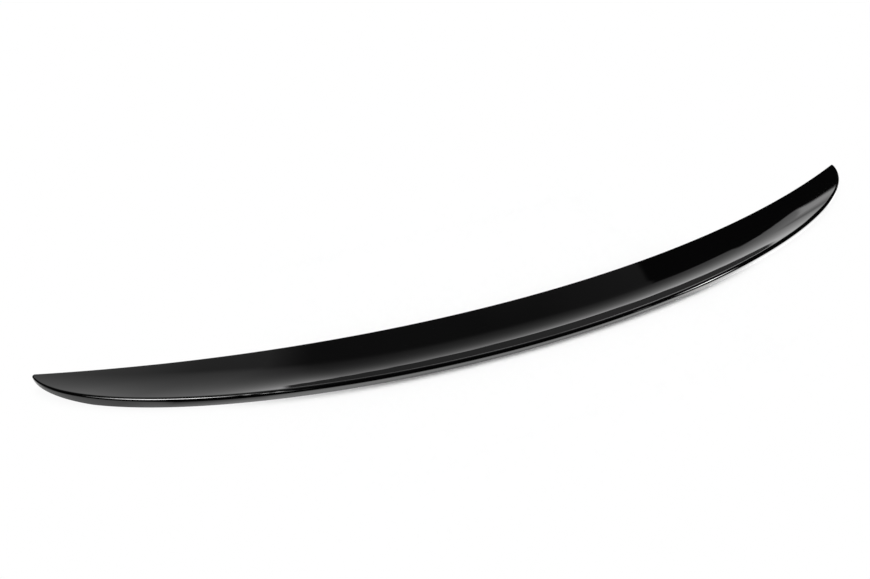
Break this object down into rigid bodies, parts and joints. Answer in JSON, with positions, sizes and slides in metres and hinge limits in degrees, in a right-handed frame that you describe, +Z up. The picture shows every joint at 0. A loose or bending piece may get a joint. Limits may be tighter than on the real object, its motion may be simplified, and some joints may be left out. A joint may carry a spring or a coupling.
{
  "type": "boot-lip spoiler",
  "caption": "Low crescent-shaped rear lip spoiler in gloss black plastic, hollow under its lip, glued along the back edge of a car's boot lid.",
  "frame": {"origin": "under the middle of the bounding box, in the plane that the foot of the rear wall rests on", "axes": "+X along the span to the right, -Y towards the rear of the car, +Z up"},
  "size_m": [1.1988, 0.1788, 0.0152],
  "materials": {
    "gloss_black": "gloss"
  },
  "bodies": {
    "root": {"spoiler_blade": "gloss_black"}
  },
  "joints": []
}
